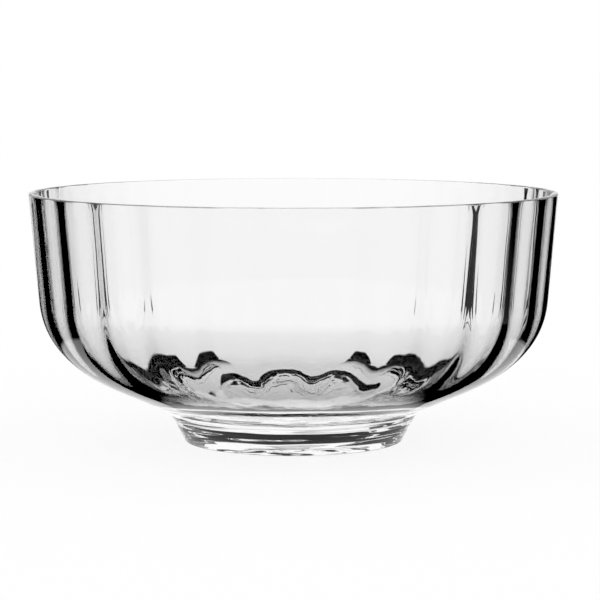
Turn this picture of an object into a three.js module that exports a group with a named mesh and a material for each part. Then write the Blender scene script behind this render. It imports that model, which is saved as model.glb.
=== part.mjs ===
// A footed glass bowl. The bowl is blown with soft upright ribs on the inside of its wall, and a solid
// foot is gathered separately and applied under it while both are hot.
// Millimetres, +Z up. The origin is the centre of the plane that the foot stands on, and the front
// faces -Y.
import * as THREE from 'three';

// Outside of the bowl
const rimRadius = 110;
const bowlHeight = 104.2;
const wallLean = 4.9; // degrees that the wall leans out from upright
const shoulderHeight = 60; // the straight wall ends here and the belly begins
const undersideRadius = 74; // the belly ends here and the straight underside begins
const undersideSlope = 23.6; // degrees that the underside rises from level
const bellyPullWall = 0.49; // how far the belly follows the wall towards the corner, 0 to 1
const bellyPullUnderside = 0.85; // the same along the underside

// Thickness of the glass
const rimWall = 2.6;
const shoulderWall = 3;
const undersideWall = 4;
const baseThickness = 4; // at the middle, over the weld with the foot
const floorPull = 0.85; // how far the floor runs level before it turns up into the underside, 0 to 1
const rimRounding = 0.7; // radius of the fire-polished edges of the rim

// Ribs on the inside of the bowl
const ribCount = 28;
const ribHeight = 0.95; // at the rim
const ribShare = 0.85; // width of a rib as a share of the distance between two ribs
const ribTurn = 1 / 3; // place of the first rib, from the front towards +X, as a share of that distance
const ribEndRadius = 80; // the ribs have died out here, low on the belly

// Foot and its weld to the bowl
const weldHeight = 14.5;
const weldRadius = 55.5;
const footRadius = 46; // at the bottom of the foot's side
const footSideLean = 24.7; // degrees that the foot's side leans out from upright
const footEdgeRounding = 0.8;
const standingRingWidth = 9;
const hollowDepth = 6; // rise of the shallow hollow under the foot

// Fineness of the surfaces
const stepsPerRib = 6;
const bellySteps = 7;
const floorSteps = 6;
const roundingSteps = 2;
const footSideSteps = 6;
const hollowSteps = 5;
const footSegments = 96;

const radians = THREE.MathUtils.degToRad;
const point = (radius, height) => new THREE.Vector2(radius, height);

// Direction away from the axis and upwards, at an angle in degrees from level.
const rising = (degrees) => point(Math.cos(radians(degrees)), Math.sin(radians(degrees)));

// Where the line through `a` along `alongA` meets the line through `b` along `alongB`.
function meeting(a, alongA, b, alongB) {
  const between = b.clone().sub(a);
  const distance = between.cross(alongB) / alongA.cross(alongB);
  return a.clone().addScaledVector(alongA, distance);
}

// Quarter-round corner: points on the arc about `centre` from one angle to the other, in degrees.
function rounding(centre, radius, fromDegrees, toDegrees) {
  const points = [];
  for (let step = 0; step <= roundingSteps; step += 1) {
    const angle = fromDegrees + ((toDegrees - fromDegrees) * step) / roundingSteps;
    points.push(centre.clone().addScaledVector(rising(angle), radius));
  }
  return points;
}

// Lines that both sides of the bowl's glass follow: the straight wall and the straight underside.
const underside = rising(undersideSlope);
const outerWall = rising(90 - wallLean);
const weldEdge = point(weldRadius, weldHeight);
const outerRim = point(rimRadius, bowlHeight - rimRounding);
const wallDrop = (bowlHeight - shoulderHeight) * Math.tan(radians(wallLean));
const outerShoulder = point(rimRadius - wallDrop, shoulderHeight);
const undersideRise = (undersideRadius - weldRadius) * Math.tan(radians(undersideSlope));
const outerUnderside = point(undersideRadius, weldHeight + undersideRise);

const innerRim = point(rimRadius - rimWall, bowlHeight - rimRounding);
const innerShoulder = point(outerShoulder.x - shoulderWall, shoulderHeight);
const innerWall = innerRim.clone().sub(innerShoulder).normalize();
const intoBowl = point(-underside.y, underside.x);
const innerUnderside = outerUnderside.clone().addScaledVector(intoBowl, undersideWall);
const floorCentre = point(0, weldHeight + baseThickness);

// The belly: one smooth curve from the underside up to the shoulder, drawn towards the corner where
// the two straight lines would meet.
function belly(low, lowAlong, high, highAlong) {
  const corner = meeting(low, lowAlong, high, highAlong);
  const lowHandle = low.clone().lerp(corner, bellyPullUnderside);
  const highHandle = high.clone().lerp(corner, bellyPullWall);
  return new THREE.CubicBezierCurve(low, lowHandle, highHandle, high).getPoints(bellySteps);
}

// Outline of half the bowl's glass, from the axis along the weld, up the outside, over the rim and
// down the inside to the axis again. The rim's inner edge begins after `edgeStart` points, and the
// inside below it after `insideStart` points.
function bowlOutline() {
  const up = belly(outerUnderside, underside, outerShoulder, outerWall);
  const outside = [point(0, weldHeight), weldEdge, ...up];
  const outerEdge = rounding(outerRim.clone().sub(point(rimRounding, 0)), rimRounding, 0, 90);
  const innerEdge = rounding(innerRim.clone().add(point(rimRounding, 0)), rimRounding, 90, 180);
  const down = belly(innerUnderside, underside, innerShoulder, innerWall).reverse();
  const floorCorner = meeting(innerUnderside, underside, floorCentre, rising(0));
  const floor = new THREE.CubicBezierCurve(
    innerUnderside,
    innerUnderside.clone().lerp(floorCorner, floorPull),
    floorCentre.clone().lerp(floorCorner, floorPull),
    floorCentre,
  ).getPoints(floorSteps);
  const edgeStart = outside.length + outerEdge.length;
  return {
    points: [...outside, ...outerEdge, ...innerEdge, ...down, ...floor.slice(1)],
    edgeStart,
    insideStart: edgeStart + innerEdge.length,
  };
}

// Height of the rib surface at an angle: a smooth hump at each rib.
function ribHump(angle) {
  const front = -Math.PI / 2;
  const place = ((angle - front) * ribCount) / (2 * Math.PI) - ribTurn;
  const fromCrest = Math.abs(place - Math.round(place));
  const halfWidth = ribShare / 2;
  return fromCrest < halfWidth ? Math.cos((Math.PI / 2) * (fromCrest / halfWidth)) ** 2 : 0;
}

// Share of the full rib height at a radius on the inside: it dies out towards the floor.
function ribFade(radius) {
  return THREE.MathUtils.smoothstep(radius, ribEndRadius, innerRim.x);
}

// The lathe turns about Y, and its first point lies along +Z, so this turns it to stand on +Z with
// that point along +X.
function standUp(geometry) {
  return geometry.rotateY(Math.PI / 2).rotateX(Math.PI / 2);
}

// The bowl, with its ribs pushed into it: level at the rim's inner edge, and square to the surface
// further down.
function bowlGeometry() {
  const { points, edgeStart, insideStart } = bowlOutline();
  const segments = ribCount * stepsPerRib;
  const geometry = new THREE.LatheGeometry(points, segments);
  const position = geometry.getAttribute('position');
  for (let row = edgeStart; row < points.length - 1; row += 1) {
    const along = points[row + 1].clone().sub(points[row - 1]).normalize();
    const inwards = row < insideStart ? point(-1, 0) : point(along.y, -along.x);
    const fade = ribFade(points[row].x);
    for (let segment = 0; segment <= segments; segment += 1) {
      const angle = (2 * Math.PI * (segment % segments)) / segments;
      const rise = ribHeight * ribHump(angle) * fade;
      const radius = points[row].x + inwards.x * rise;
      const height = points[row].y + inwards.y * rise;
      position.setXYZ(
        segment * points.length + row,
        radius * Math.sin(angle),
        height,
        radius * Math.cos(angle),
      );
    }
  }
  return standUp(geometry);
}

// Outline of half the foot: the hollow underneath, the flat ring that it stands on, the side that
// flares into the line of the bowl's underside, and the flat weld on top.
function footGeometry() {
  const ringInner = footRadius - footEdgeRounding - standingRingWidth;
  const hollowCentre = point(0, hollowDepth);
  const hollow = new THREE.QuadraticBezierCurve(
    hollowCentre,
    point(ringInner / 2, hollowDepth),
    point(ringInner, 0),
  ).getPoints(hollowSteps);
  const edgeCentre = point(footRadius - footEdgeRounding, footEdgeRounding);
  const edge = rounding(edgeCentre, footEdgeRounding, -90, -footSideLean);
  const sideFoot = edge[edge.length - 1];
  const flare = meeting(sideFoot, rising(90 - footSideLean), weldEdge, underside);
  const side = new THREE.QuadraticBezierCurve(sideFoot, flare, weldEdge).getPoints(footSideSteps);
  const outline = [...hollow, ...edge, ...side.slice(1), point(0, weldHeight)];
  return standUp(new THREE.LatheGeometry(outline, footSegments));
}

// Clear colourless glass. Each piece has its own material.
function clearGlass() {
  return new THREE.MeshStandardMaterial({
    color: 0xf4f6f6,
    roughness: 0.03,
    metalness: 0,
    transparent: true,
    opacity: 0.3,
  });
}

function piece(name, geometry) {
  const mesh = new THREE.Mesh(geometry, clearGlass());
  mesh.name = name;
  return mesh;
}

const footedBowl = new THREE.Group();
footedBowl.add(piece('bowl', bowlGeometry()));
footedBowl.add(piece('foot', footGeometry()));

export default footedBowl;
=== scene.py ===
# %% [markdown]
# A footed glass bowl
#
# The bowl is blown into a ribbed mould, so soft ribs run down the inside of its wall. A gather of hot
# glass is set under it and shaped into a foot. Both are clear, so almost all that the eye sees is bent
# light. This lesson makes the two surfaces finely enough to bend light well, gives them a glass that is
# not quite perfect, and then builds the kind of studio in which glass is photographed. The packed
# solids are loaded first, so that the finished pieces stand exactly where they do.

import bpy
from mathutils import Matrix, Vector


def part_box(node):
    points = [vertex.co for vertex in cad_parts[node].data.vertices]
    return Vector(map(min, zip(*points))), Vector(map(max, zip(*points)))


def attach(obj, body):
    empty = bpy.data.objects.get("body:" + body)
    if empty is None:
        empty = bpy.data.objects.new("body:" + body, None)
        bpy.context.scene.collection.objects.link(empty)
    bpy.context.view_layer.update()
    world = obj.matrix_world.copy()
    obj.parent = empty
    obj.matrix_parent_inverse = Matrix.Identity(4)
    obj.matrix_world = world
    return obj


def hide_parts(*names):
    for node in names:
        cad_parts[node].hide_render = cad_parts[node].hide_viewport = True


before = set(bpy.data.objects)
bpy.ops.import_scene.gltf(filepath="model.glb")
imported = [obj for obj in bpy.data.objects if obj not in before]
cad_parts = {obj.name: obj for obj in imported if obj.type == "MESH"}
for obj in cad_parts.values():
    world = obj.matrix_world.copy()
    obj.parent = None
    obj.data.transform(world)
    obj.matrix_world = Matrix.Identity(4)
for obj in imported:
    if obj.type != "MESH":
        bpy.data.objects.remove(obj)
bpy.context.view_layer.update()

# %% [markdown]
# Sizes
#
# The frame already holds the outer sizes. They could be typed in again, but read from the frame they
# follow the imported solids. The rest of this script thinks in millimetres, as a glassworks does, and
# changes to metres when a mesh is made.

# %% Sizes that the frame gives
import math

import bpy
import numpy as np

MM = 0.001
bowl_low, bowl_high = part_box("bowl")
_, foot_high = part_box("foot")
rim_radius = bowl_high.x / MM
bowl_height = bowl_high.z / MM
weld_height = bowl_low.z / MM
weld_radius = foot_high.x / MM
print(f"rim radius {rim_radius:.1f} mm, height {bowl_height:.1f} mm, weld at {weld_height:.1f} mm")

# %% [markdown]
# Drawing half an outline
#
# A blown bowl is round, so its shape is half an outline turned about an axis. The outline is made of
# straight runs, arcs and Bezier curves. Each helper gives an array of (radius, height) points. A
# curve drawn in the viewport and turned by a Screw modifier would do as well, but an array can be
# measured, pushed about and carved with ribs before it becomes a mesh.


# %% Helpers for outlines
def rising(degrees):
    """Unit vector that rises by an angle from level: (cos, sin)."""
    return np.array((math.cos(math.radians(degrees)), math.sin(math.radians(degrees))))


def meeting(a, along_a, b, along_b):
    """Where two lines meet: a + along_a * s, with s = (b - a) x along_b / (along_a x along_b)."""
    between = b - a
    cross = along_a[0] * along_b[1] - along_a[1] * along_b[0]
    return a + along_a * (between[0] * along_b[1] - between[1] * along_b[0]) / cross


def straight(a, b, steps):
    """Points a + (b - a) t for t from 0 to 1."""
    return a + (b - a) * np.linspace(0, 1, steps + 1)[:, None]


def arc(centre, radius, from_degrees, to_degrees, steps):
    """Points centre + radius (cos t, sin t) between two angles."""
    t = np.radians(np.linspace(from_degrees, to_degrees, steps + 1))
    return centre + radius * np.stack((np.cos(t), np.sin(t)), axis=1)


def bezier(points, steps):
    """Bezier curve: the sum of C(n, i) (1 - t)^(n - i) t^i P_i for t from 0 to 1."""
    t = np.linspace(0, 1, steps + 1)[:, None]
    n = len(points) - 1
    return sum(math.comb(n, i) * (1 - t) ** (n - i) * t**i * p for i, p in enumerate(points))


# %% [markdown]
# The bowl's outline
#
# On the outside the wall leans out a little and ends in a full belly, which runs into the straight
# underside. The inside follows at the thickness of the glass: thin at the rim, thicker towards the
# bottom, because hot glass sags. The outline could be traced point by point, but a few lines and curves
# with real sizes are easier to check. The belly is one Bezier curve whose handles point at the corner
# where the wall and the underside would meet. Lengths are in millimetres and angles in degrees.

# %% Corners of the bowl's outline
wall_lean = 4.9
shoulder_height = 60
underside_radius = 74
underside_slope = 23.6
rim_wall = 2.6
shoulder_wall = 3.0
underside_wall = 4.0
base_thickness = 4.0
rim_rounding = 0.7

underside = rising(underside_slope)
outer_wall = rising(90 - wall_lean)
weld_edge = np.array((weld_radius, weld_height))
wall_drop = (bowl_height - shoulder_height) * math.tan(math.radians(wall_lean))
outer_shoulder = np.array((rim_radius - wall_drop, shoulder_height))
underside_rise = (underside_radius - weld_radius) * math.tan(math.radians(underside_slope))
outer_underside = np.array((underside_radius, weld_height + underside_rise))
rim_top = bowl_height - rim_rounding
outer_rim = np.array((rim_radius, rim_top))
inner_rim = np.array((rim_radius - rim_wall, rim_top))
inner_shoulder = outer_shoulder - (shoulder_wall, 0)
inner_underside = outer_underside + underside_wall * np.array((-underside[1], underside[0]))
floor_centre = np.array((0, weld_height + base_thickness))
print(f"the belly begins at a radius of {underside_radius} mm and ends {shoulder_height} mm up")

# %% Outline of the bowl
belly_pull_wall = 0.49  # how far a handle goes from its end towards the corner, 0 to 1
belly_pull_underside = 0.85
floor_pull = 0.85
underside_steps = 10
belly_steps = 34
outer_wall_steps = 12
inner_wall_steps = 16
rim_steps = 6
floor_steps = 36


def belly(low, along_low, high, along_high):
    """Bezier curve from the underside to the shoulder. Each handle is end + (corner - end) * pull, and the
    corner is where the two straight lines meet."""
    corner = meeting(low, along_low, high, along_high)
    low_handle = low + (corner - low) * belly_pull_underside
    high_handle = high + (corner - high) * belly_pull_wall
    return bezier((low, low_handle, high_handle, high), belly_steps)


floor_corner = meeting(inner_underside, underside, floor_centre, rising(0))
floor_handle = inner_underside + (floor_corner - inner_underside) * floor_pull
centre_handle = floor_centre + (floor_corner - floor_centre) * floor_pull
outside = np.concatenate((
    straight(weld_edge, outer_underside, underside_steps)[:-1],
    belly(outer_underside, underside, outer_shoulder, outer_wall)[:-1],
    straight(outer_shoulder, outer_rim, outer_wall_steps)[:-1],
))
outer_edge = arc(outer_rim - (rim_rounding, 0), rim_rounding, 0, 90, rim_steps)
inner_edge = arc(inner_rim + (rim_rounding, 0), rim_rounding, 90, 180, rim_steps)
inside = np.concatenate((
    straight(inner_rim, inner_shoulder, inner_wall_steps)[1:-1],
    belly(inner_underside, underside, inner_shoulder, inner_rim - inner_shoulder)[:0:-1],
    bezier((inner_underside, floor_handle, centre_handle, floor_centre), floor_steps)[:-1],
))
bowl_outline = np.concatenate((outside, outer_edge, inner_edge, inside))
print("bowl outline:", len(bowl_outline), "points, of which", len(inside), "are on the inside")

# %% [markdown]
# Ribs and the hand of the glassblower
#
# The ribs are soft humps on the inside of the wall. They are highest at the rim, whose inner edge
# follows them, and die out low on the belly. Hand-blown glass is never quite even: the ribs differ a
# little in height, and slow waves run over both faces. These are far too shallow to see as shape, but
# they are what makes the reflections of real glass wander. A bump map could stand in for them, but it
# only tilts the light: the edge of the rim would stay even, and the exported mesh would be without them.
# So they are built into the surface.

# %% Ribs and waves as functions of angle and place
rib_count = 28
rib_share = 0.85  # width of a rib, as a share of the distance between two ribs
rib_turn = 1 / 3  # place of the first rib from the front towards +X, as a share of that distance
rib_unevenness = 0.05  # how much the ribs differ in height, as a share of it
columns_per_rib = 21
column_angle = np.linspace(0, 2 * math.pi, rib_count * columns_per_rib, endpoint=False)
golden_angle = math.pi * (3 - math.sqrt(5))


def smooth_step(x, low, high):
    """0 below low, 1 above high, and 3 t^2 - 2 t^3 between them."""
    t = np.clip((x - low) / (high - low), 0, 1)
    return t * t * (3 - 2 * t)


def rib_humps(angle):
    """Height of the ribs, 0 to about 1: cos^2 of the way from crest to edge, counted from the front."""
    place = (angle + math.pi / 2) * rib_count / (2 * math.pi) - rib_turn
    rib = np.round(place)
    way = np.minimum(np.abs(place - rib) / (rib_share / 2), 1)
    uneven = 1 + rib_unevenness * np.cos(rib % rib_count * golden_angle)
    return np.cos(way * math.pi / 2) ** 2 * uneven


def slow_waves(outline, angle, waves):
    """Uneven glass: the mean of cos(m a + p) cos(2 pi s / w + 2 p) over pairs of a count m round the axis
    and a wavelength w along the outline, where s is the length along it. The phase p steps by the
    golden angle, so that no two waves agree."""
    steps = np.linalg.norm(np.diff(outline, axis=0, prepend=outline[:1]), axis=1)
    length = np.cumsum(steps)[:, None]
    shares = []
    for number, (around, wavelength) in enumerate(waves, start=1):
        phase = golden_angle * number
        along = np.cos(2 * math.pi * length / wavelength + 2 * phase)
        shares.append(np.cos(around * angle + phase) * along)
    return np.mean(shares, axis=0)


# %% Rise of the bowl's surface
rib_height = 0.95  # at the rim
rib_end_radius = 80  # the ribs have died out here
bowl_wave = 0.10
bowl_waves = ((3, 70), (5, 45), (7, 60), (11, 38), (2, 90), (9, 52))
waves_below_rim = (1, 12)  # no waves above the first depth, full waves below the second
waves_from_axis = (20, 62)  # no waves inside the first radius, full waves outside the second

bowl_row = np.arange(len(bowl_outline))
bowl_r, bowl_z = bowl_outline.T
ribbed = bowl_row >= len(outside) + len(outer_edge)
rib_fade = ribbed * smooth_step(bowl_r, rib_end_radius, inner_rim[0])
wave_fade = smooth_step(bowl_height - bowl_z, *waves_below_rim) * smooth_step(bowl_r, *waves_from_axis)
bowl_rise = rib_height * rib_fade[:, None] * rib_humps(column_angle)
bowl_rise += bowl_wave * wave_fade[:, None] * slow_waves(bowl_outline, column_angle, bowl_waves)
print(f"ribs {rib_count}, highest rise {bowl_rise.max():.2f} mm, deepest wave {bowl_rise.min():.2f} mm")

# %% [markdown]
# Turning an outline into a mesh
#
# Each point of the outline is pushed out of the glass by its rise and then carried round the axis.
# That gives a grid with one row for each point and one column for each angle. The Spin tool makes such
# a grid too, but every column of it is the same, and here each has its own rise. The first and last
# rows close on a point at the axis. The disc where the bowl and the foot were fused together gets a
# material of its own, because there is no surface inside fused glass.


# %% Turning and closing a grid
def out_of_glass(outline):
    """Unit vector out of the glass at each point: the outline's direction (u, v) turned to (v, -u)."""
    along = np.gradient(outline, axis=0)
    along /= np.linalg.norm(along, axis=1, keepdims=True)
    return np.stack((along[:, 1], -along[:, 0]), axis=1)


def turned(outline, push, rise):
    """Grid of points (r cos a, r sin a, z), in metres, of an outline moved along push by rise."""
    radius = outline[:, :1] + push[:, :1] * rise
    height = outline[:, 1:] + push[:, 1:] * rise
    across = radius * np.cos(column_angle)
    back = radius * np.sin(column_angle)
    return MM * np.stack((across, back, height), axis=2)


def closed_glass(name, grid, first_pole, last_pole, fused_end):
    """Closed mesh of a turned grid: quads between its rows and a fan of triangles at each end, around a
    pole at that height in millimetres. Faces point out of the glass. fused_end names the fan, first
    or last, that lies in the weld."""
    rows, count, _ = grid.shape
    column = np.arange(count)
    after = (column + 1) % count
    row = np.arange(rows - 1)[:, None] * count
    quads = np.stack((row + column, row + after, row + count + after, row + count + column), axis=2)
    last = (rows - 1) * count
    pole = np.full(count, rows * count)
    first_fan = np.stack((pole, after, column), axis=1)
    last_fan = np.stack((last + column, last + after, pole + 1), axis=1)
    poles = MM * np.array(((0, 0, first_pole), (0, 0, last_pole)))
    faces = quads.reshape(-1, 4).tolist() + first_fan.tolist() + last_fan.tolist()
    mesh = bpy.data.meshes.new(name)
    mesh.from_pydata(np.concatenate((grid.reshape(-1, 3), poles)), [], faces)
    fused = np.zeros(len(faces), dtype=np.int32)
    start = len(faces) - count * (2 if fused_end == "first" else 1)
    fused[start:start + count] = 1
    mesh.polygons.foreach_set("material_index", fused)
    mesh.polygons.foreach_set("use_smooth", fused == 0)
    piece = bpy.data.objects.new(name, mesh)
    bpy.context.scene.collection.objects.link(piece)
    print(f"{name}: {len(mesh.vertices)} points, {len(faces)} faces")
    return piece


# %% Mesh of the bowl
bowl_push = out_of_glass(bowl_outline)
on_inner_edge = ribbed & (bowl_row < len(bowl_outline) - len(inside))
bowl_push[on_inner_edge] = (-1, 0)  # level, so that the rim stays flat
bowl_grid = turned(bowl_outline, bowl_push, bowl_rise)
bowl = closed_glass("blown_bowl", bowl_grid, weld_height, floor_centre[1], "first")

# %% [markdown]
# The foot
#
# The foot is a solid gather of glass. Its side flares up into the line of the bowl's underside, and it
# stands on a flat ring. The hollow underneath keeps the middle off the table, where the foot was broken
# off its rod and melted smooth again, so it is the most uneven face of all. The tool that shaped the
# side while the foot was spun left fine rings round it. Bowl and foot could be one mesh, but two pieces
# are what the glassblower joins, and each can then have its own marks.

# %% Outline of the foot
foot_radius = 46
foot_side_lean = 24.7
foot_edge_rounding = 0.8
standing_ring_width = 9
hollow_depth = 6.0
hollow_steps = 36
ring_steps = 6
foot_edge_steps = 8
foot_side_steps = 48

ring_inner = foot_radius - foot_edge_rounding - standing_ring_width
hollow_centre = np.array((0, hollow_depth))
hollow_edge = np.array((ring_inner, 0))
edge_centre = np.array((foot_radius - foot_edge_rounding, foot_edge_rounding))
foot_edge = arc(edge_centre, foot_edge_rounding, -90, -foot_side_lean, foot_edge_steps)
flare = meeting(foot_edge[-1], rising(90 - foot_side_lean), weld_edge, underside)
foot_outline = np.concatenate((
    bezier((hollow_centre, hollow_centre + hollow_edge / 2, hollow_edge), hollow_steps)[1:-1],
    straight(hollow_edge, foot_edge[0], ring_steps)[:-1],
    foot_edge[:-1],
    bezier((foot_edge[-1], flare, weld_edge), foot_side_steps),
))
print("foot outline:", len(foot_outline), "points")

# %% Marks and mesh of the foot
foot_wave = 0.12
foot_waves = ((5, 22), (8, 14), (13, 18), (3, 30))
foot_marks = 0.05
foot_rings = ((2.3, 1), (3.4, 2), (5.2, 3))
ring_swing = 2.0  # radians
side_above_table = (1, 3)  # no marks below the first height, full marks above the second
side_below_weld = 2  # the marks fade out over this height
hollow_wave = 0.6
hollow_waves = ((4, 9), (7, 14), (11, 8), (6, 11))
hollow_from_axis = (2, 10)  # no waves inside the first radius, full waves outside the second
hollow_to_ring = 8  # the waves fade out over this width


def tool_rings(height, angle, rings):
    """Fine rings: the mean of cos(2 pi z / w + swing cos(m a + p)) over pairs of a spacing w in height and
    a number m of times that the ring wanders up and down on its way round."""
    shares = []
    for number, (spacing, wanders) in enumerate(rings, start=1):
        wander = ring_swing * np.cos(wanders * angle + golden_angle * number)
        shares.append(np.cos(2 * math.pi * height[:, None] / spacing + wander))
    return np.mean(shares, axis=0)


foot_r, foot_z = foot_outline.T
on_side = foot_r > foot_radius - foot_edge_rounding
side_fade = on_side * smooth_step(foot_z, *side_above_table)
side_fade *= 1 - smooth_step(foot_z, weld_height - side_below_weld, weld_height)
hollow_fade = smooth_step(foot_r, *hollow_from_axis)
hollow_fade *= 1 - smooth_step(foot_r, ring_inner - hollow_to_ring, ring_inner)
foot_rise = foot_wave * side_fade[:, None] * slow_waves(foot_outline, column_angle, foot_waves)
foot_rise += foot_marks * side_fade[:, None] * tool_rings(foot_z, column_angle, foot_rings)
foot_rise += hollow_wave * hollow_fade[:, None] * slow_waves(foot_outline, column_angle, hollow_waves)
foot_grid = turned(foot_outline, out_of_glass(foot_outline), foot_rise)
foot = closed_glass("applied_foot", foot_grid, hollow_depth, weld_height, "last")

# %% [markdown]
# Adding nodes
#
# Materials, the floor and the world are all made of shader nodes. They could be wired by hand in the
# Shader Editor, but in a script every value has a name. One small function adds any node, and another
# turns a colour as the eye knows it into the linear values that light is reckoned in.


# %% One function for nodes and one for colours
def add_node(tree, kind, inputs=None, **settings):
    """Adds a node: settings are its own properties, and inputs gives a constant or an output to link
    for each input's name or number."""
    made = tree.nodes.new("ShaderNode" + kind)
    for name, value in settings.items():
        setattr(made, name, value)
    for socket, value in (inputs or {}).items():
        if isinstance(value, bpy.types.NodeSocket):
            tree.links.new(value, made.inputs[socket])
        else:
            made.inputs[socket].default_value = value
    return made


def linear(hex_colour):
    """sRGB hex to linear RGBA: c / 12.92 up to 0.04045, and ((c + 0.055) / 1.055)^2.4 above."""
    srgb = np.array([int(hex_colour[i:i + 2], 16) for i in (1, 3, 5)]) / 255
    rgb = np.where(srgb <= 0.04045, srgb / 12.92, ((srgb + 0.055) / 1.055) ** 2.4)
    return (*rgb.tolist(), 1.0)


def empty_tree(owner):
    """The node tree of a material or world, with nothing in it."""
    owner.use_nodes = True
    owner.node_tree.nodes.clear()
    return owner.node_tree


# %% [markdown]
# Clear glass
#
# Clear soda-lime glass, melted smooth in the fire: it bends light by an index of about 1.52 and mirrors
# some four parts in a hundred at a straight look. A Glass BSDF would do, but the Principled shader can
# be exported. A perfect glass looks like a drawing, so this one has cords, faint streaks where the melt
# was not quite mixed. They run down the wall, so the noise that makes them is stretched along the
# height. To the eye they make the mirrored lines waver and the glass a touch less than pure white.
#
# The weld inside the fused glass has no surface, so its material lets all light go straight on.

# %% Glass of the bowl and the foot
glass_index = 1.52
glass_roughness = 0.0
clear_colour = "#FFFFFF"
cord_colour = "#FDFDFD"
cord_width = 9
cord_length = 60
cord_depth = 0.05
cord_detail = 2.0  # finer steps of noise inside each cord


def clear_glass(name):
    """Clear glass with cords: noise, stretched along the height, lifts the surface and tints it a touch.
    Inputs 6 and 7 of a Mix node are its two colours, and its output 2 is their mix."""
    material = bpy.data.materials.new(name)
    tree = empty_tree(material)
    place = add_node(tree, "TexCoord").outputs["Object"]
    stretch = (1 / (cord_width * MM), 1 / (cord_width * MM), 1 / (cord_length * MM))
    cords_at = add_node(tree, "Mapping", {"Vector": place, "Scale": stretch}).outputs[0]
    cords = add_node(tree, "TexNoise", {
        "Vector": cords_at, "Scale": 1.0, "Detail": cord_detail,
    }).outputs[0]
    tint = add_node(tree, "Mix", {
        0: cords, 6: linear(clear_colour), 7: linear(cord_colour),
    }, data_type="RGBA").outputs[2]
    bump = add_node(tree, "Bump", {
        "Strength": 1.0, "Distance": cord_depth * MM, "Height": cords,
    }).outputs[0]
    glass = add_node(tree, "BsdfPrincipled", {
        "Base Color": tint,
        "Roughness": glass_roughness,
        "Normal": bump,
        "IOR": glass_index,
        "Transmission Weight": 1.0,
    }).outputs[0]
    add_node(tree, "OutputMaterial", {"Surface": glass})
    return material


def fused_glass(name):
    """No surface at all: light goes on through the weld, as it does inside one body of glass."""
    material = bpy.data.materials.new(name)
    tree = empty_tree(material)
    nothing = add_node(tree, "BsdfPrincipled", {"Alpha": 0.0, "IOR": glass_index}).outputs[0]
    add_node(tree, "OutputMaterial", {"Surface": nothing})
    return material


weld_finish = fused_glass("fused_weld")
for piece, finish in ((bowl, "blown_soda_lime_glass"), (foot, "applied_soda_lime_glass")):
    piece.data.materials.append(clear_glass(finish))
    piece.data.materials.append(weld_finish)
    print(piece.name, "is", [m.name for m in piece.data.materials])

# %% [markdown]
# The studio
#
# Glass is photographed against a lit white backdrop with a black flag on each side of it, so that the
# body stays clear and the edges are drawn in black. Real cards and flags could be set up round the bowl,
# but they would stand in front of the camera from every other side. So the floor and the world are plain
# white to the camera and light the bowl softly from all round, and only a ray that comes straight from
# the glass sees the studio. The Light Path node tells how that ray came:
#
# - A ray that was never mirrored sees the backdrop, the white sides of the room and a lit ring on the
#   table. If it passed through one wall only, it sees all of the table round the bowl.
# - A ray that was mirrored once sees the backdrop and, half as bright, the room in front of the bowl.
#   Off the outside of the glass it also sees the white table close behind the bowl.
# - A ray that was mirrored two or three times sees the backdrop.
# - All of these see the table under the foot. If they passed through one wall at the most, they also
#   see the white above the bowl.
# - All other rays end in the dark.
#
# A depth in the Light Path node is a whole number, so at most n is tested as less than n + 0.5.

# %% Telling rays apart
count_margin = 0.5
wall_faces = 2


def straight_from_glass(tree):
    """1 for a ray that comes straight from the glass, and 0 for any other: the larger of Is Glossy Ray and
    Is Transmission Ray, if no matt surface scattered the light on the way."""
    path = add_node(tree, "LightPath").outputs
    mirrored_or_bent = add_node(tree, "Math", {
        0: path["Is Glossy Ray"], 1: path["Is Transmission Ray"],
    }, operation="MAXIMUM").outputs[0]
    unscattered = add_node(tree, "Math", {
        0: path["Diffuse Depth"], 1: count_margin,
    }, operation="LESS_THAN").outputs[0]
    return add_node(tree, "Math", {0: mirrored_or_bent, 1: unscattered}, operation="MULTIPLY").outputs[0]


def through_one_wall(tree):
    """1 for a ray that passed through no more than the two faces of one wall, and 0 for any other."""
    passed = add_node(tree, "LightPath").outputs["Transmission Depth"]
    return add_node(tree, "Math", {
        0: passed, 1: wall_faces + count_margin,
    }, operation="LESS_THAN").outputs[0]


# %% Directions in the studio
studio_turn = -2  # degrees from straight back, to the left


def angle_from_axis(tree, place):
    """Angle of a place from the studio's axis, as seen from the bowl: |atan2(x, y) - turn|."""
    apart = add_node(tree, "SeparateXYZ", {0: place}).outputs
    bearing = add_node(tree, "Math", {0: apart["X"], 1: apart["Y"]}, operation="ARCTAN2").outputs[0]
    off_axis = add_node(tree, "Math", {
        0: bearing, 1: math.radians(studio_turn),
    }, operation="SUBTRACT").outputs[0]
    return add_node(tree, "Math", {0: off_axis}, operation="ABSOLUTE").outputs[0]


# %% What a ray from the glass sees
back_edge = 24  # the backdrop reaches this far from the axis, in degrees
side_from = 70  # the flags end and the white sides begin
flag_softness = 0.5
front_from = 90
front_softness = 10
front_level = 0.5
mirror_limit = 3


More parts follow.
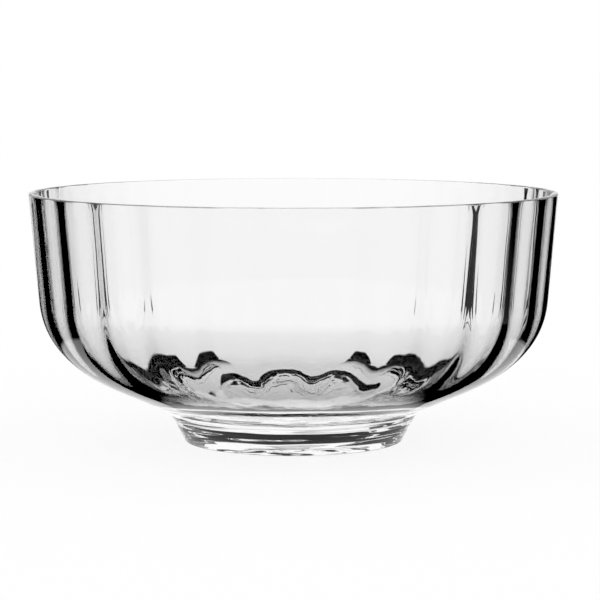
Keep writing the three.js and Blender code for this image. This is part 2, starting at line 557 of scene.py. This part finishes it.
def studio_in_glass(tree, place, table, close, glow, far, low):
    """Level that a ray from the glass sees towards a place: the largest of the lights that it may see, by
    its angle from the axis and by how often it was mirrored. table is the lit part of the table, close
    the part that the outside of the glass mirrors, and glow what mirrored rays see. far is 1 in the lit
    part of the room in front, and low is 1 below the top of the backdrop."""
    path = add_node(tree, "LightPath").outputs
    angle = angle_from_axis(tree, place)
    wedge = add_node(tree, "MapRange", {
        "Value": angle,
        "From Min": math.radians(back_edge + flag_softness),
        "From Max": math.radians(back_edge - flag_softness),
    }).outputs[0]
    backdrop = add_node(tree, "Math", {0: wedge, 1: low}, operation="MULTIPLY").outputs[0]
    sides = add_node(tree, "MapRange", {
        "Value": angle,
        "From Min": math.radians(side_from - flag_softness),
        "From Max": math.radians(side_from + flag_softness),
    }).outputs[0]
    room = add_node(tree, "MapRange", {
        "Value": angle,
        "From Min": math.radians(front_from - front_softness),
        "From Max": math.radians(front_from + front_softness),
        "To Max": front_level,
    }).outputs[0]
    front = add_node(tree, "Math", {0: room, 1: far}, operation="MULTIPLY").outputs[0]
    off_outside = add_node(tree, "Math", {
        0: path["Transmission Depth"], 1: count_margin,
    }, operation="LESS_THAN").outputs[0]
    behind = add_node(tree, "Math", {
        0: angle, 1: math.radians(front_from),
    }, operation="LESS_THAN").outputs[0]
    close_behind = add_node(tree, "Math", {0: close, 1: behind}, operation="MULTIPLY").outputs[0]
    beside = add_node(tree, "Math", {0: close_behind, 1: off_outside}, operation="MULTIPLY").outputs[0]
    level = 0.0
    for most_mirrored, lights in (
        (0, (sides, table)), (1, (front, beside)), (mirror_limit, (backdrop, glow)),
    ):
        allowed = add_node(tree, "Math", {
            0: path["Glossy Depth"], 1: most_mirrored + count_margin,
        }, operation="LESS_THAN").outputs[0]
        for light in lights:
            shown = add_node(tree, "Math", {0: light, 1: allowed}, operation="MULTIPLY").outputs[0]
            level = add_node(tree, "Math", {0: shown, 1: level}, operation="MAXIMUM").outputs[0]
    return level


print(f"backdrop {2 * back_edge} degrees wide, with a black flag on each side out to {side_from} degrees")

# %% [markdown]
# The floor
#
# The bowl stands on white paper that runs on to the horizon. Paper lit by the world alone comes out a
# little grey, and paper that only glows has no shadow. So to the camera it is mostly a plain white, with
# enough lit paper mixed in to keep a faint shadow under the bowl. For rays from the glass the lit parts
# of the table are rings and discs about the bowl's axis, with their radii in metres.

# %% Floor
floor_half = 30.0
corners = floor_half * np.array(((-1, -1, 0), (1, -1, 0), (1, 1, 0), (-1, 1, 0)))
floor_mesh = bpy.data.meshes.new("studio_floor")
floor_mesh.from_pydata(corners, [], [(0, 1, 2, 3)])
floor = bpy.data.objects.new("studio_floor", floor_mesh)
bpy.context.scene.collection.objects.link(floor)
print("floor reaches", floor_half, "m each way")

# %% Paper of the floor
floor_glow = 0.85  # share of plain white in what the camera sees
table_softness = 0.006
table_edges = {
    "foot": 0.055,  # mirrored rays see the table inside this
    "ring": 0.12,  # the lit ring begins
    "close": 0.17,  # the outside of the glass mirrors the table inside this
    "front": 0.25,  # the lit room in front begins
    "past_ring": 0.32,  # the lit ring ends
    "wide": 0.6,  # rays through one wall see the table inside this
}

paper = bpy.data.materials.new("white_paper_floor")
tree = empty_tree(paper)
place = add_node(tree, "TexCoord").outputs["Object"]
distance = add_node(tree, "VectorMath", {0: place}, operation="LENGTH").outputs["Value"]
beyond = {}
within = {}
for edge, reach in table_edges.items():
    beyond[edge] = add_node(tree, "MapRange", {
        "Value": distance, "From Min": reach - table_softness, "From Max": reach + table_softness,
    }).outputs[0]
    within[edge] = add_node(tree, "Math", {0: 1.0, 1: beyond[edge]}, operation="SUBTRACT").outputs[0]
ring = add_node(tree, "Math", {0: beyond["ring"], 1: within["past_ring"]}, operation="MULTIPLY").outputs[0]
one_wall = through_one_wall(tree)
wide = add_node(tree, "Math", {0: within["wide"], 1: one_wall}, operation="MULTIPLY").outputs[0]
table = add_node(tree, "Math", {0: ring, 1: wide}, operation="MAXIMUM").outputs[0]
level = studio_in_glass(tree, place, table, within["close"], within["foot"], beyond["front"], 1.0)
lit_paper = add_node(tree, "BsdfDiffuse", {"Color": linear("#FEFEFE")}).outputs[0]
white = add_node(tree, "Emission", {"Color": linear("#FFFFFF"), "Strength": 1.0}).outputs[0]
to_camera = add_node(tree, "LightPath").outputs["Is Camera Ray"]
kept_white = add_node(tree, "Math", {0: to_camera, 1: floor_glow}, operation="MULTIPLY").outputs[0]
seen = add_node(tree, "MixShader", {0: kept_white, 1: lit_paper, 2: white}).outputs[0]
studio = add_node(tree, "Emission", {"Color": level, "Strength": 1.0}).outputs[0]
surface = add_node(tree, "MixShader", {0: straight_from_glass(tree), 1: seen, 2: studio}).outputs[0]
add_node(tree, "OutputMaterial", {"Surface": surface})
floor_mesh.materials.append(paper)
print("table edges in metres:", table_edges)

# %% [markdown]
# The world
#
# All the light comes from a plain white world, as in a tent of white cloth. Lamps could light the bowl
# too, but each of them would show in the glass as a bright spot. Rays from the glass see the same studio
# here: a backdrop that ends a few degrees above level, and white above the bowl.

# %% World
backdrop_top = 4
sky_from = 0  # the white above begins at this height in degrees
sky_full = 10

world = bpy.data.worlds.new("white_studio")
bpy.context.scene.world = world
tree = empty_tree(world)
place = add_node(tree, "TexCoord").outputs["Generated"]
up = add_node(tree, "SeparateXYZ", {0: place}).outputs["Z"]
sky = add_node(tree, "MapRange", {
    "Value": up,
    "From Min": math.sin(math.radians(sky_from)),
    "From Max": math.sin(math.radians(sky_full)),
}).outputs[0]
below_top = add_node(tree, "MapRange", {
    "Value": up,
    "From Min": math.sin(math.radians(backdrop_top + flag_softness)),
    "From Max": math.sin(math.radians(backdrop_top - flag_softness)),
}).outputs[0]
glow = add_node(tree, "Math", {0: sky, 1: through_one_wall(tree)}, operation="MULTIPLY").outputs[0]
level = studio_in_glass(tree, place, 0.0, 0.0, glow, 1.0, below_top)
soft_light = add_node(tree, "Background", {"Color": linear("#FFFFFF"), "Strength": 1.0}).outputs[0]
studio = add_node(tree, "Background", {"Color": level, "Strength": 1.0}).outputs[0]
surface = add_node(tree, "MixShader", {0: straight_from_glass(tree), 1: soft_light, 2: studio}).outputs[0]
add_node(tree, "OutputWorld", {"Surface": surface})
print("world gives soft white light at strength 1")

# %% [markdown]
# Camera and render depth
#
# The camera looks slightly down on the rim from about a metre away, through a long lens. A short lens
# from nearby would fill the frame as well, but it would open the rim's ellipse too far. Light in the
# thick foot is mirrored many times before it comes out, so the paths may be long.

# %% Camera and bounces
picture_width = 600  # pixels
focal_pixels = 2374
sensor_width = 36  # millimetres
camera_place = (0.0027, -0.990, 0.1601)  # metres
camera_tilt = 5.85  # degrees below level
path_length = 32

camera_data = bpy.data.cameras.new("camera")
camera_data.sensor_width = sensor_width
camera_data.lens = sensor_width * focal_pixels / picture_width
camera = bpy.data.objects.new("camera", camera_data)
camera.location = camera_place
camera.rotation_euler = (math.radians(90 - camera_tilt), 0, 0)
scene = bpy.context.scene
scene.collection.objects.link(camera)
scene.camera = camera
scene.view_settings.view_transform = "Standard"
scene.cycles.max_bounces = path_length
scene.cycles.glossy_bounces = path_length
scene.cycles.transmission_bounces = path_length
scene.cycles.transparent_max_bounces = path_length
print(f"lens {camera_data.lens:.1f} mm")

# %% [markdown]
# Joining the pieces to the frame
#
# Both pieces stand for the imported solid of the same part and ride on its one body. The imported solids
# could be shown with a glass material too, but they are too coarse to bend light smoothly.

# %% Ride and replace
for piece, cad_node, slot in ((bowl, "bowl", "bowl_glass"), (foot, "foot", "foot_glass")):
    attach(piece, "root")
    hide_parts(cad_node)
